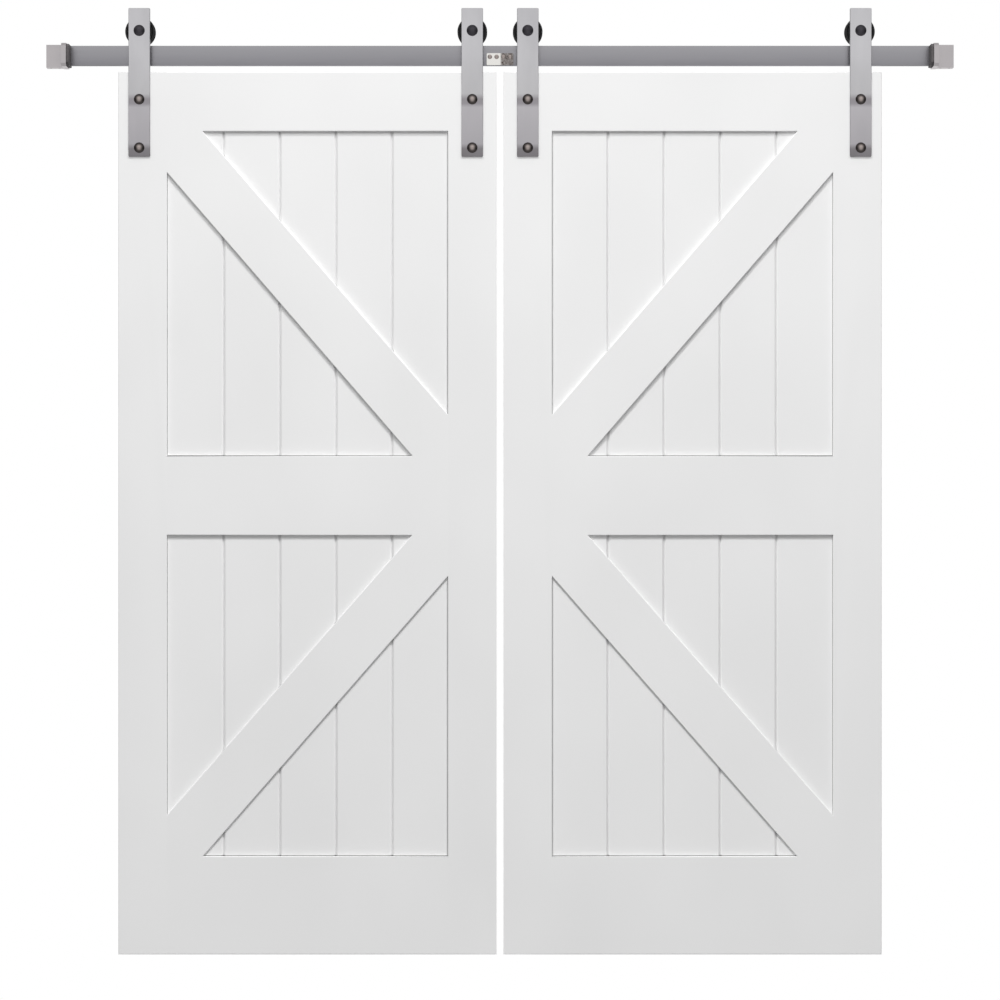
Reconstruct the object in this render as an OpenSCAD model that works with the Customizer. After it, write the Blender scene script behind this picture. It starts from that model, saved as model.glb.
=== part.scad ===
/* [Leaves] */
// Width of one door leaf
leaf_w = 914.4; // [700:0.1:1200]
// Height of a door leaf
leaf_h = 2133.6; // [1800:0.1:2700]
// Thickness of a door leaf
leaf_t = 34.9; // [30:0.1:44]
// Gap between the two leaves when they are closed
leaf_gap = 17; // [6:0.5:40]
// Gap from the underside of the track down to the top of a leaf
top_gap = 17.5; // [16.5:0.5:40]

/* [Leaf frame] */
// Width of the stiles
stile_w = 117.5; // [95:0.5:150]
// Height of the top rail
top_rail_h = 143; // [110:1:200]
// Height of the middle rail
middle_rail_h = 192; // [120:1:260]
// Height of the bottom rail
bottom_rail_h = 237; // [140:1:320]
// Height of the upper opening, the lower one takes what is left
upper_opening_h = 785; // [600:1:950]
// Depth of the groove that holds the planks and the tenons
frame_groove_d = 12.7; // [8:0.1:16]
// Flat taken off each outer corner of the leaf and of its openings
leaf_ease = 1.2; // [0.4:0.1:2.5]
// Radius of the dowels in the frame's joints
dowel_r = 6; // [4:0.5:7]
// Length of the dowels
dowel_l = 90; // [60:1:110]
// Distance between the two dowels of a top rail joint
top_dowel_pitch = 70; // [50:1:85]
// Distance between the two dowels of a middle rail joint
middle_dowel_pitch = 110; // [60:1:120]
// Distance between the two dowels of a bottom rail joint
bottom_dowel_pitch = 140; // [60:1:150]

/* [Planks and braces] */
// Number of planks across an opening
plank_count = 5; // [3:1:8]
// Thickness of the planks
plank_t = 19.1; // [14:0.1:24]
// Flat on each plank edge, two of them make the V between planks
plank_bevel = 4.5; // [2:0.1:6]
// Thickness of the tongue
tongue_t = 6; // [4:0.1:8]
// Length of the tongue
tongue_l = 8; // [5:0.5:12]
// Gap between neighbouring planks, closed behind by the tongue
plank_gap = 0.4; // [0.2:0.1:1]
// Width of the diagonal braces
brace_w = 131; // [90:1:160]

/* [Track] */
// Height of the flat track bar
track_h = 48.8; // [38:0.1:60]
// Thickness of the track bar
track_t = 6.35; // [5:0.05:8]
// Length of track beyond the outer edge of a closed leaf
track_overhang = 176; // [140:1:900]
// Length of the standoffs between the wall and the track
standoff_l = 31.75; // [28:0.05:45]
// Radius of the standoffs
standoff_r = 12.7; // [10:0.1:15]
// Radius of the lag screws' plain shanks
lag_r = 4; // [3:0.1:5]
// Radius over the lag screws' threads, in the wall
lag_thread_r = 3.75; // [2.5:0.05:4.5]
// Length of a lag screw inside the wall
lag_in_wall = 50; // [35:1:80]
// Radius of the lag screws' washer face
lag_head_r = 9; // [8:0.5:11]

/* [Splice] */
// Width of the splice plate and of the block behind the track
splice_w = 65; // [60:1:72]
// Height of the splice plate
splice_h = 29; // [24:1:34]
// Thickness of the splice plate
splice_t = 2.5; // [1.5:0.1:4]
// Height of the plate's centre, measured from the track's centre line
splice_z = -8.5; // [-9:0.5:0]
// Height of the block behind the track
splice_block_h = 36; // [30:1:38]
// Distance from one splice screw to the next
splice_screw_pitch = 16.4; // [14:0.1:17]
// Height of the row of splice screws, measured from the track's centre line
splice_screw_z = -3; // [-5:0.5:0]
// Radius of the splice screws' shanks
splice_screw_r = 3; // [2:0.1:3.5]
// Depth of the splice screws in the block
splice_screw_grip = 10; // [6:0.5:16]

/* [End stops] */
// Length of the sleeve that takes the end of the track
stop_sleeve_l = 41; // [30:1:60]
// Wall of the sleeve in front of the track
stop_front_wall = 4; // [3:0.5:6]
// Wall of the sleeve over the track
stop_top_wall = 1.5; // [1.5:0.5:4]
// Wall of the sleeve under the track, which holds the set screws
stop_bottom_wall = 5; // [4:0.5:8]
// Wall of the sleeve behind the track
stop_back_wall = 8; // [5:0.5:12]
// Thickness of the flange
stop_flange_t = 12; // [8:0.5:16]
// How far the flange stands out in front of the track
stop_flange_out = 37; // [25:1:45]
// How far the flange reaches below the sleeve
stop_flange_drop = 1; // [0:0.5:5]
// Thickness of the rubber bumper
bumper_t = 6; // [4:0.5:10]
// Margin of steel left round the bumper
bumper_margin = 2.5; // [1:0.5:4]
// Radius of the set screws
set_screw_r = 2.5; // [2:0.1:3]

/* [Hanger straps] */
// Width of a strap
strap_w = 52; // [44:0.5:60]
// Thickness of a strap
strap_t = 6.35; // [5:0.05:8]
// Length of a strap
strap_l = 359; // [300:1:420]
// Length of strap above the wheel's axle
strap_over_axle = 54.3; // [45:0.1:60]
// Distance from a leaf's outer edge to the outer strap's centre line
outer_strap_inset = 51.3; // [35:0.1:60]
// Distance from a leaf's meeting edge to the inner strap's centre line
inner_strap_inset = 58.6; // [35:0.1:62]
// Distance from the top of a leaf down to the upper door bolt
bolt_drop = 66.5; // [50:0.5:75]
// Distance between the two door bolts of a strap
bolt_pitch = 117.1; // [90:0.1:130]
// Radius of the door bolts' shanks
bolt_r = 5; // [4:0.1:6]
// Radius of the door bolts' heads
bolt_head_r = 12.7; // [10:0.1:14]
// Height of the door bolts' domed heads
bolt_head_h = 6.5; // [4:0.1:9]

/* [Wheels] */
// Radius of a wheel over its flanges
wheel_r = 36; // [33:0.1:42]
// Depth of the groove that runs on the track
wheel_groove_d = 3; // [2.5:0.1:6]
// Width of a wheel
wheel_w = 22; // [18:0.5:24]
// Radius of the axle bolts' shanks
axle_r = 5; // [4:0.1:6]
// Radius of the axle bolts' heads
axle_head_r = 13.5; // [11:0.1:15]
// Height of the axle bolts' domed heads
axle_head_h = 7.5; // [4:0.1:9]
// Radius of the wheel bearings
bearing_r = 15; // [13:0.1:17]
// Width of the wheel bearings
bearing_w = 9; // [7:0.5:12]
// Radius of the bearing balls
ball_r = 3; // [2:0.1:3.2]
// Number of balls in a bearing
ball_count = 8; // [6:1:8]

/* [Anti-jump discs] */
// Radius of the discs on top of the leaves
disc_r = 15.5; // [12:0.5:17]
// Thickness of the discs
disc_t = 15.5; // [8:0.5:16]
// Radius of the disc screws' shanks
disc_screw_r = 2.2; // [1.5:0.1:3]
// Depth of the disc screws in the leaf
disc_screw_grip = 20; // [12:1:25]

/* [Hidden] */
$fn = 48;
left = -1;
right = 1;
// How far a cutting shape stands proud of the face that it opens
over = 1;
// Clearances: wheel over track, sliding wood in a groove, a shaft in its hole, a bolt in a drilled hole
roll_gap = 0.3;
groove_fit = 0.1;
shaft_fit = 0.05;
bolt_fit = 0.25;
// Gap at the bottom of a groove or of a blind hole
end_gap = 1;
metal_ease = 0.8;

// Depths: the wall is at 0 and the room is towards -Y
track_back = -standoff_l;
track_front = track_back - track_t;
track_mid = track_back - track_t / 2;
leaf_front = track_mid - leaf_t / 2;
leaf_back = track_mid + leaf_t / 2;
strap_front = leaf_front - strap_t;
recess_d = (leaf_t - plank_t) / 2;

// Heights: 0 is the centre line of the track
track_top = track_h / 2;
roll_r = wheel_r - wheel_groove_d;
axle_z = track_top + roll_gap + roll_r;
strap_top = axle_z + strap_over_axle;
leaf_top = -track_h / 2 - top_gap;
leaf_bottom = leaf_top - leaf_h;
upper_top = leaf_top - top_rail_h;
upper_bottom = upper_top - upper_opening_h;
lower_top = upper_bottom - middle_rail_h;
lower_bottom = leaf_bottom + bottom_rail_h;
bolt_zs = [leaf_top - bolt_drop, leaf_top - bolt_drop - bolt_pitch];

// Places along the right half of the track, which the left half mirrors
inner_x = leaf_gap / 2;
outer_x = inner_x + leaf_w;
open_x0 = inner_x + stile_w;
open_x1 = outer_x - stile_w;
open_w = open_x1 - open_x0;
plank_pitch = open_w / plank_count;
inner_strap_x = inner_x + inner_strap_inset;
outer_strap_x = outer_x - outer_strap_inset;
strap_xs = [inner_strap_x, outer_strap_x];
track_end = outer_x + track_overhang;
stop_x = track_end - stop_sleeve_l;
splice_screw_xs = [for (i = [-1.5 : 1 : 1.5]) i * splice_screw_pitch];

// Each joint of the leaf's frame: height of the rail's middle and distance between its dowels
dowel_rows = [
    [(leaf_top + upper_top) / 2, top_dowel_pitch],
    [(upper_bottom + lower_top) / 2, middle_dowel_pitch],
    [(lower_bottom + leaf_bottom) / 2, bottom_dowel_pitch]
];
dowel_zs = [for (row = dowel_rows) for (s = [-1, 1]) row[0] + s * row[1] / 2];

// Nuts, heads and other small hardware
nut_h = 8;
nut_r = 8.5;
nut_flange_r = 10;
nut_flange_h = 2;
thread_end = 2;
head_rim = 1.2;
lag_hex_r = 7.5;
lag_hex_h = 5;
lag_washer_h = 2;
lag_tip_l = 6;
lag_tip_r = 0.5;
small_head_r = 5.4;
small_head_h = 2.8;
socket_r = 2.3;
socket_d = 1.5;
spacer_r = 7.5;
disc_head_r = 4.2;
disc_head_h = 3;
corner_r = 2.5;
stop_chamfer = 7;
wheel_lip = 1.5;
wheel_dish_d = 2;
wheel_shoulder = 3;

white = "#f1f1f0";
nickel = "#b7b7ba";
black_nylon = "#18181a";
black_steel = "#39383b";
zinc = "#a9abad";
bearing_steel = "#d0d2d4";
rubber = "#3a3839";
beech = "#c9a173";
polished = "#e4e2df";

// ---- Shapes that several pieces share ----

// Draws the right side as it is and the left side as its mirror image
module on_side(side) {
    if (side == left)
        mirror([1, 0, 0]) children();
    else
        children();
}

// Box between two corners
module block(low, high) {
    translate(low) cube(high - low);
}

// Turns a shape's Z axis to point at the wall
module to_wall() {
    rotate([-90, 0, 0]) children();
}

// Extrudes an outline drawn in X and Z from depth y0 back to depth y1
module slab(y0, y1) {
    translate([0, y1, 0]) rotate([90, 0, 0]) linear_extrude(y1 - y0) children();
}

// Extrudes an outline drawn in Y and Z from x0 to x1
module bar_along_x(x0, x1) {
    translate([x0, 0, 0]) rotate([90, 0, 90]) linear_extrude(x1 - x0) children();
}

// Wedge that takes a flat off the edge from a to b, in X and Z, of a face at depth y. The
// material is on the left of the way from a to b, and behind the face when inward is 1.
module edge_cutter(a, b, y, inward, size, past) {
    reach = size + over;
    translate([a[0], y, a[1]])
        rotate([0, -atan2(b[1] - a[1], b[0] - a[0]), 0])
            bar_along_x(-past, norm(b - a) + past)
                polygon([[-over * inward, -over], [reach * inward, -over], [-over * inward, reach]]);
}

// The same edge on the front and on the back of a leaf, from a to b and past both ends
module leaf_edge(a, b, past = 0) {
    edge_cutter(a, b, leaf_front, 1, leaf_ease, past);
    edge_cutter(a, b, leaf_back, -1, leaf_ease, past);
}

// Rectangle with rounded corners, centred
module rounded_rect(w, h, r) {
    square([w - 2 * r, h], center = true);
    square([w, h - 2 * r], center = true);
    for (x = [-1, 1])
        for (y = [-1, 1])
            translate([x * (w / 2 - r), y * (h / 2 - r)]) circle(r);
}

// Domed head whose flat underside is at 0 and whose crown points away from the wall
module dome(r, h) {
    cap_h = h - head_rim;
    ball = (r * r + cap_h * cap_h) / (2 * cap_h);
    intersection() {
        translate([0, 0, ball - h]) sphere(ball, $fn = 96);
        translate([0, 0, -h]) cylinder(h = h, r = r);
    }
}

// Dome-headed bolt with a square neck, its head's underside at 0
module coach_bolt(r, l, head_r, head_h, neck) {
    dome(head_r, head_h);
    translate([-r, -r, 0]) cube([2 * r, 2 * r, neck]);
    cylinder(h = l, r = r);
}

// Square hole for a coach bolt's neck
module neck_hole(r) {
    w = 2 * (r + bolt_fit);
    translate([-w / 2, -w / 2, -over]) cube([w, w, strap_t + 2 * over]);
}

// Hexagon nut with a flange, on a bolt of radius r
module flange_nut(r) {
    difference() {
        union() {
            cylinder(h = nut_flange_h, r = nut_flange_r);
            cylinder(h = nut_h, r = nut_r, $fn = 6);
        }
        translate([0, 0, -over]) cylinder(h = nut_h + 2 * over, r = r + shaft_fit);
    }
}

// ---- Track ----

module track_bar(side) {
    h = track_h / 2;
    color(nickel) on_side(side) difference() {
        block([0, track_front, -h], [track_end, track_back, h]);
        for (face = [[track_front, 1], [track_back, -1]]) {
            edge_cutter([0, -h], [track_end, -h], face[0], face[1], metal_ease, over);
            edge_cutter([track_end, h], [0, h], face[0], face[1], metal_ease, over);
        }
        for (x = strap_xs)
            translate([x, track_front - over, 0])
                to_wall() cylinder(h = track_t + 2 * over, r = lag_r + bolt_fit);
        for (x = splice_screw_xs)
            translate([x, track_front - over, splice_screw_z])
                to_wall() cylinder(h = track_t + 2 * over, r = splice_screw_r + bolt_fit);
    }
}

module splice_plate() {
    color(polished) difference() {
        slab(track_front - splice_t, track_front)
            translate([0, splice_z]) rounded_rect(splice_w, splice_h, corner_r);
        for (x = splice_screw_xs)
            translate([x, track_front - splice_t - over, splice_screw_z])
                to_wall() cylinder(h = splice_t + 2 * over, r = splice_screw_r + bolt_fit);
    }
}

module splice_block() {
    color(zinc) difference() {
        slab(track_back, 0) rounded_rect(splice_w, splice_block_h, corner_r);
        for (x = splice_screw_xs)
            translate([x, track_back - over, splice_screw_z])
                to_wall()
                    cylinder(h = splice_screw_grip + end_gap + over, r = splice_screw_r + shaft_fit);
    }
}

module splice_screws() {
    color(zinc)
        for (x = splice_screw_xs)
            translate([x, track_front - splice_t, splice_screw_z]) to_wall() difference() {
                union() {
                    dome(small_head_r, small_head_h);
                    cylinder(h = splice_t + track_t + splice_screw_grip, r = splice_screw_r);
                }
                translate([0, 0, -small_head_h - over])
                    cylinder(h = socket_d + over, r = socket_r, $fn = 6);
            }
}

module standoffs() {
    color(nickel)
        for (side = [left, right])
            for (x = strap_xs)
                translate([side * x, track_back, 0]) to_wall() difference() {
                    cylinder(h = standoff_l, r = standoff_r);
                    translate([0, 0, -over])
                        cylinder(h = standoff_l + 2 * over, r = lag_r + bolt_fit);
                }
}

module wall_lag_screws() {
    plain_l = track_t + standoff_l;
    thread_l = lag_in_wall - lag_tip_l;
    color(nickel)
        for (side = [left, right])
            for (x = strap_xs)
                translate([side * x, track_front, 0]) to_wall() {
                    translate([0, 0, -lag_washer_h]) cylinder(h = lag_washer_h, r = lag_head_r);
                    translate([0, 0, -lag_washer_h - lag_hex_h])
                        cylinder(h = lag_hex_h, r = lag_hex_r, $fn = 6);
                    cylinder(h = plain_l, r = lag_r);
                    translate([0, 0, plain_l]) cylinder(h = thread_l, r = lag_thread_r);
                    translate([0, 0, plain_l + thread_l])
                        cylinder(h = lag_tip_l, r1 = lag_thread_r, r2 = lag_tip_r);
                }
}

// ---- End stops ----

// Section of the hole that the track passes through, in Y and Z
module track_slot(fit) {
    translate([track_mid, 0]) square([track_t + 2 * fit, track_h + 2 * fit], center = true);
}

// Section of the stop's flange, in Y and Z, smaller all round by the given margin
module flange_section(margin) {
    y0 = track_front - stop_flange_out + margin;
    y1 = track_back + stop_back_wall - margin;
    z0 = -track_h / 2 - stop_bottom_wall - stop_flange_drop + margin;
    z1 = track_top + stop_top_wall - min(margin, stop_top_wall);
    c = stop_chamfer;
    polygon([[y0 + c, z0], [y1, z0], [y1, z1], [y0 + c, z1], [y0, z1 - c], [y0, z0 + c]]);
}

module stop_block(side) {
    low_z = -track_h / 2 - stop_bottom_wall;
    color(nickel) on_side(side) difference() {
        union() {
            block(
                [stop_x, track_front - stop_front_wall, low_z],
                [track_end, track_back + stop_back_wall, track_top + stop_top_wall]
            );
            bar_along_x(stop_x - stop_flange_t, stop_x) flange_section(0);
        }
        bar_along_x(stop_x - stop_flange_t - over, track_end + over) track_slot(shaft_fit);
        for (x = set_screw_xs())
            translate([x, track_mid, low_z - over])
                cylinder(h = stop_bottom_wall + 2 * over, r = set_screw_r + shaft_fit);
    }
}

module stop_bumper(side) {
    face_x = stop_x - stop_flange_t;
    color(rubber) on_side(side) difference() {
        bar_along_x(face_x - bumper_t, face_x) flange_section(bumper_margin);
        bar_along_x(face_x - bumper_t - over, face_x + over) track_slot(bolt_fit);
    }
}

function set_screw_xs() = [stop_x + stop_sleeve_l / 4, stop_x + 3 * stop_sleeve_l / 4];

module stop_set_screws() {
    color(black_steel)
        for (side = [left, right])
            for (x = set_screw_xs())
                translate([side * x, track_mid, -track_h / 2 - stop_bottom_wall])
                    cylinder(h = stop_bottom_wall, r = set_screw_r);
}

// ---- Leaf frame ----

// Full-thickness timber between two places across and two heights
module timber(x0, x1, z0, z1) {
    block([x0, leaf_front, z0], [x1, leaf_back, z1]);
}

// Slice of the leaf's middle, as thick as the planks plus a clearance on each face
module core(x0, x1, z0, z1, fit) {
    half = plank_t / 2 + fit;
    block([x0, track_mid - half, z0], [x1, track_mid + half, z1]);
}

// Dowels of the joints at x, or their holes when they are given a clearance
module dowels_at(x, radial, endwise) {
    for (z = dowel_zs)
        translate([x - dowel_l / 2 - endwise, track_mid, z])
            rotate([0, 90, 0]) cylinder(h = dowel_l + 2 * endwise, r = dowel_r + radial);
}

// Holes for a strap's two door bolts, through the leaf
module bolt_holes(x) {
    for (z = bolt_zs)
        translate([x, leaf_front - over, z])
            to_wall() cylinder(h = leaf_t + 2 * over, r = bolt_r + bolt_fit);
}

// Pilot hole for the screw of an anti-jump disc
module disc_screw_hole(x) {
    translate([x, track_mid, leaf_top - disc_screw_grip - end_gap])
        cylinder(h = disc_screw_grip + end_gap + over, r = disc_screw_r + shaft_fit);
}

// The outer corners along the leaf's top, bottom and two sides
module leaf_outline_edges() {
    corners = [[inner_x, leaf_bottom], [outer_x, leaf_bottom], [outer_x, leaf_top], [inner_x, leaf_top]];
    for (i = [0 : 3])
        leaf_edge(corners[i], corners[(i + 1) % 4], over);
}

// How far from an opening's corner a brace's edge meets the level side and the upright side
function brace_cut_x(h) = brace_w / 2 * norm([open_w, h]) / h;
function brace_cut_z(h) = brace_w / 2 * norm([open_w, h]) / open_w;

module outer_stile(side) {
    upper_h = upper_top - upper_bottom;
    lower_h = lower_top - lower_bottom;
    color(white) on_side(side) difference() {
        timber(open_x1, outer_x, leaf_bottom, leaf_top);
        core(open_x1 - over, open_x1 + frame_groove_d, leaf_bottom - over, leaf_top + over, groove_fit);
        dowels_at(open_x1, shaft_fit, end_gap);
        bolt_holes(outer_strap_x);
        disc_screw_hole(outer_strap_x);
        leaf_outline_edges();
        leaf_edge([open_x1, upper_top - brace_cut_z(upper_h)], [open_x1, upper_bottom]);
        leaf_edge([open_x1, lower_top], [open_x1, lower_bottom + brace_cut_z(lower_h)]);
    }
}

module inner_stile(side) {
    upper_h = upper_top - upper_bottom;
    lower_h = lower_top - lower_bottom;
    color(white) on_side(side) difference() {
        timber(inner_x, open_x0, leaf_bottom, leaf_top);
        core(open_x0 - frame_groove_d, open_x0 + over, leaf_bottom - over, leaf_top + over, groove_fit);
        dowels_at(open_x0, shaft_fit, end_gap);
        bolt_holes(inner_strap_x);
        disc_screw_hole(inner_strap_x);
        leaf_outline_edges();
        leaf_edge([open_x0, upper_bottom + brace_cut_z(upper_h)], [open_x0, upper_top]);
        leaf_edge([open_x0, lower_bottom], [open_x0, lower_top - brace_cut_z(lower_h)]);
    }
}

// A rail between the stiles from z0 to z1, with a tenon at each end, and a plank groove in
// its lower edge, its upper edge or both
module rail(z0, z1, below, above) {
    tenon = frame_groove_d - end_gap;
    tenon_z0 = below ? z0 + frame_groove_d : z0;
    tenon_z1 = above ? z1 - frame_groove_d : z1;
    reach = tenon + over;
    difference() {
        union() {
            timber(open_x0, open_x1, z0, z1);
            core(open_x0 - tenon, open_x1 + tenon, tenon_z0, tenon_z1, 0);
        }
        if (below)
            core(open_x0 - reach, open_x1 + reach, z0 - over, tenon_z0, groove_fit);
        if (above)
            core(open_x0 - reach, open_x1 + reach, tenon_z1, z1 + over, groove_fit);
        for (x = [open_x0, open_x1])
            dowels_at(x, shaft_fit, end_gap);
        leaf_outline_edges();
    }
}

module top_rail(side) {
    cut = brace_cut_x(upper_top - upper_bottom);
    color(white) on_side(side) difference() {
        rail(upper_top, leaf_top, true, false);
        leaf_edge([open_x0 - over, upper_top], [open_x1 - cut, upper_top]);
    }
}

module middle_rail(side) {
    upper_cut = brace_cut_x(upper_top - upper_bottom);
    lower_cut = brace_cut_x(lower_top - lower_bottom);
    color(white) on_side(side) difference() {
        rail(lower_top, upper_bottom, true, true);
        leaf_edge([open_x1 + over, upper_bottom], [open_x0 + upper_cut, upper_bottom]);
        leaf_edge([open_x0 + lower_cut, lower_top], [open_x1 + over, lower_top]);
    }
}

module bottom_rail(side) {
    cut = brace_cut_x(lower_top - lower_bottom);
    color(white) on_side(side) difference() {
        rail(leaf_bottom, lower_bottom, false, true);
        leaf_edge([open_x1 - cut, lower_bottom], [open_x0 - over, lower_bottom]);
    }
}

module frame_dowels(side) {
    color(beech) on_side(side)
        for (x = [open_x0, open_x1])
            dowels_at(x, 0, 0);
}

// ---- Planks and braces ----

// Section of plank i in X and Y: its edges have a groove or a tongue between two bevels, and
// the first and last planks run on into the stiles
module plank_section(i) {
    is_last = i == plank_count - 1;
    x0 = open_x0 + i * plank_pitch;
    x1 = x0 + plank_pitch - (is_last ? 0 : plank_gap);
    half = plank_t / 2;
    flat = half - plank_bevel;
    into_stile = frame_groove_d - end_gap;
    tongue = tongue_t / 2;
    slot = tongue + groove_fit;
    slot_x = x0 + tongue_l + end_gap;
    plain_left = [[x0 - into_stile, -half], [x0 - into_stile, half]];
    grooved_left = [
        [x0 + plank_bevel, -half], [x0, -flat], [x0, -slot], [slot_x, -slot],
        [slot_x, slot], [x0, slot], [x0, flat], [x0 + plank_bevel, half]
    ];
    plain_right = [[x1 + into_stile, half], [x1 + into_stile, -half]];
    tongued_right = [
        [x1 - plank_bevel, half], [x1, flat], [x1, tongue], [x1 + tongue_l, tongue],
        [x1 + tongue_l, -tongue], [x1, -tongue], [x1, -flat], [x1 - plank_bevel, -half]
    ];
    polygon(concat(i == 0 ? plain_left : grooved_left, is_last ? plain_right : tongued_right));
}

// The planks of one opening, whose ends stand in the rails' grooves
module planks(side, z0, z1) {
    into_rail = frame_groove_d - end_gap;
    color(white) on_side(side)
        for (i = [0 : plank_count - 1])
            translate([0, track_mid, z0 - into_rail])
                linear_extrude(z1 - z0 + 2 * into_rail) plank_section(i);
}

// The braces of one opening, one on each face, from corner to corner. They climb towards the
// outer stile when rising is true, and fall towards it when it is false.
module braces(side, z0, z1, rising) {
    h = z1 - z0;
    cx = brace_cut_x(h);
    cz = brace_cut_z(h);
    low = rising ? z0 : z1;
    up = rising ? 1 : -1;
    lower_edge = [[open_x0 + cx, low], [open_x1, low + up * (h - cz)]];
    upper_edge = [[open_x0, low + up * cz], [open_x1 - cx, low + up * h]];
    faces = [[leaf_front, leaf_front + recess_d], [leaf_back - recess_d, leaf_back]];
    color(white) on_side(side) difference() {
        for (face = faces)
            slab(face[0], face[1])
                polygon([
                    [open_x0, low], lower_edge[0], lower_edge[1],
                    [open_x1, low + up * h], upper_edge[1], upper_edge[0]
                ]);
        for (edge = [lower_edge, [upper_edge[1], upper_edge[0]]])
            leaf_edge(edge[rising ? 0 : 1], edge[rising ? 1 : 0], 2 * over);
    }
}

// ---- Hangers ----

module strap(side, x) {
    z0 = strap_top - strap_l;
    x0 = x - strap_w / 2;
    x1 = x + strap_w / 2;
    corners = [[x0, z0], [x1, z0], [x1, strap_top], [x0, strap_top]];
    color(nickel) on_side(side) difference() {
        slab(strap_front, leaf_front)
            translate([x, strap_top - strap_l / 2]) rounded_rect(strap_w, strap_l, corner_r);
        for (z = bolt_zs)
            translate([x, strap_front, z]) to_wall() neck_hole(bolt_r);
        translate([x, strap_front, axle_z]) to_wall() neck_hole(axle_r);
        for (i = [0 : 3])
            edge_cutter(corners[i], corners[(i + 1) % 4], strap_front, 1, metal_ease, over);
    }
}

module door_bolts(side) {
    length = strap_t + leaf_t + nut_h + thread_end;
    color(black_steel) on_side(side)
        for (x = strap_xs)
            for (z = bolt_zs)
                translate([x, strap_front, z])
                    to_wall() coach_bolt(bolt_r, length, bolt_head_r, bolt_head_h, strap_t - end_gap);
}

module door_nuts(side) {
    color(zinc) on_side(side)
        for (x = strap_xs)
            for (z = bolt_zs)
                translate([x, leaf_back, z]) to_wall() flange_nut(bolt_r);
}

// Where the rear spacer ends and the axle nut starts, just clear of the wheel's rear face
axle_nut_y = track_mid + wheel_w / 2 + end_gap;

module axle_bolts(side) {
    length = axle_nut_y + nut_h + thread_end - strap_front;
    color(black_steel) on_side(side)
        for (x = strap_xs)
            translate([x, strap_front, axle_z])
                to_wall() coach_bolt(axle_r, length, axle_head_r, axle_head_h, strap_t - end_gap);
}

// Sleeves on the axles, from the strap to the bearing and from the bearing to the nut
module axle_spacers(side) {
    stretches = [[leaf_front, track_mid - bearing_w / 2], [track_mid + bearing_w / 2, axle_nut_y]];
    color(zinc) on_side(side)
        for (x = strap_xs)
            for (s = stretches)
                translate([x, s[0], axle_z]) to_wall() difference() {
                    cylinder(h = s[1] - s[0], r = spacer_r);
                    translate([0, 0, -over])
                        cylinder(h = s[1] - s[0] + 2 * over, r = axle_r + shaft_fit);
                }
}

module axle_nuts(side) {
    color(zinc) on_side(side)
        for (x = strap_xs)
            translate([x, axle_nut_y, axle_z]) to_wall() flange_nut(axle_r);
}

// Half section of a bearing ring between two radii, with the raceway cut into it
module ring_section(r0, r1) {
    difference() {
        translate([r0, -bearing_w / 2]) square([r1 - r0, bearing_w]);
        translate([ball_orbit_r, 0]) circle(ball_r + shaft_fit);
    }
}

ball_orbit_r = (axle_r + bearing_r) / 2;
ring_gap_r = 2 * ball_r / 3;

module bearing_inner_rings(side) {
    color(bearing_steel) on_side(side)
        for (x = strap_xs)
            translate([x, track_mid, axle_z])
                to_wall() rotate_extrude() ring_section(axle_r + shaft_fit, ball_orbit_r - ring_gap_r);
}

// Outer ring and balls of the bearing in one wheel
module wheel_bearing(side, x) {
    color(bearing_steel) on_side(side) translate([x, track_mid, axle_z]) to_wall() {
        rotate_extrude() ring_section(ball_orbit_r + ring_gap_r, bearing_r);
        for (i = [0 : ball_count - 1])
            rotate([0, 0, i * 360 / ball_count]) translate([ball_orbit_r, 0, 0]) sphere(ball_r);
    }
}

// Grooved wheel: its dished faces have a hub and a rim, and its bearing goes in from the back
module wheel(side, x) {
    w = wheel_w / 2;
    seat = bearing_r + shaft_fit;
    hub = bearing_r + wheel_shoulder;
    rim = roll_r - wheel_shoulder;
    dish = w - wheel_dish_d;
    root_w = track_t / 2 + 2 * bolt_fit;
    lip_w = (root_w + w) / 2;
    color(black_nylon) on_side(side) translate([x, track_mid, axle_z]) to_wall() rotate_extrude()
        polygon([
            [seat - wheel_shoulder, -w], [hub, -w], [hub + wheel_dish_d, -dish],
            [rim, -dish], [rim + wheel_dish_d, -w], [wheel_r - wheel_lip, -w],
            [wheel_r, wheel_lip - w], [wheel_r, -lip_w], [roll_r, -root_w],
            [roll_r, root_w], [wheel_r, lip_w], [wheel_r, w - wheel_lip],
            [wheel_r - wheel_lip, w], [rim + wheel_dish_d, w], [rim, dish],
            [hub + wheel_dish_d, dish], [hub, w], [seat, w], [seat, -bearing_w / 2],
            [seat - wheel_shoulder, -bearing_w / 2]
        ]);
}

module anti_jump_discs(side) {
    color(black_nylon) on_side(side)
        for (x = strap_xs)
            translate([x, track_mid, leaf_top]) difference() {
                cylinder(h = disc_t, r = disc_r);
                translate([0, 0, -over]) cylinder(h = disc_t + 2 * over, r = disc_screw_r + shaft_fit);
                translate([0, 0, disc_t - disc_head_h])
                    cylinder(h = disc_head_h + over, r = disc_head_r + bolt_fit);
            }
}

module disc_screws(side) {
    color(zinc) on_side(side)
        for (x = strap_xs)
            translate([x, track_mid, leaf_top]) difference() {
                union() {
                    translate([0, 0, -disc_screw_grip])
                        cylinder(h = disc_screw_grip + disc_t - disc_head_h, r = disc_screw_r);
                    translate([0, 0, disc_t - disc_head_h]) cylinder(h = disc_head_h, r = disc_head_r);
                }
                translate([0, 0, disc_t - socket_d])
                    cylinder(h = socket_d + over, r = socket_r, $fn = 6);
            }
}

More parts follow.
